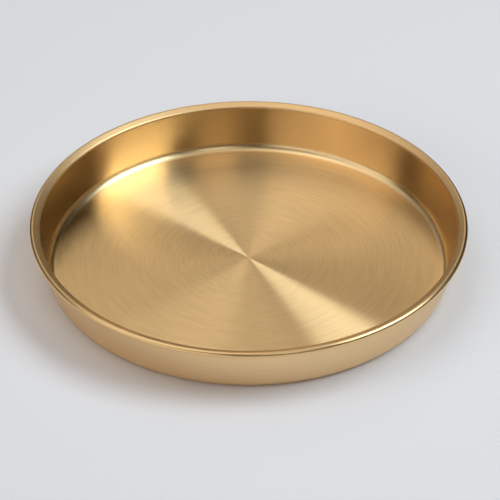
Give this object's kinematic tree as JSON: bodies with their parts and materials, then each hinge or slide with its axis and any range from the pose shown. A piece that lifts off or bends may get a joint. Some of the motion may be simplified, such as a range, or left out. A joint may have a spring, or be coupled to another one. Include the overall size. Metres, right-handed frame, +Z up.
{
  "type": "thali plate",
  "caption": "Round shallow brass serving plate with a flat brushed floor, a low flared wall and a turned-out lip rolled round a stiffening wire.",
  "frame": {"origin": "centre of the underside, on the surface that the plate stands on", "axes": "+Z up along the plate's axis; X and Y are level and alike, because the plate is round"},
  "size_m": [0.28, 0.28, 0.0342],
  "materials": {
    "brushed_brass": "satin, brushed in circles about the plate's axis",
    "steel_wire": "drawn wire"
  },
  "bodies": {
    "root": {"dish": "brushed_brass", "rim_wire": "steel_wire"}
  },
  "joints": []
}
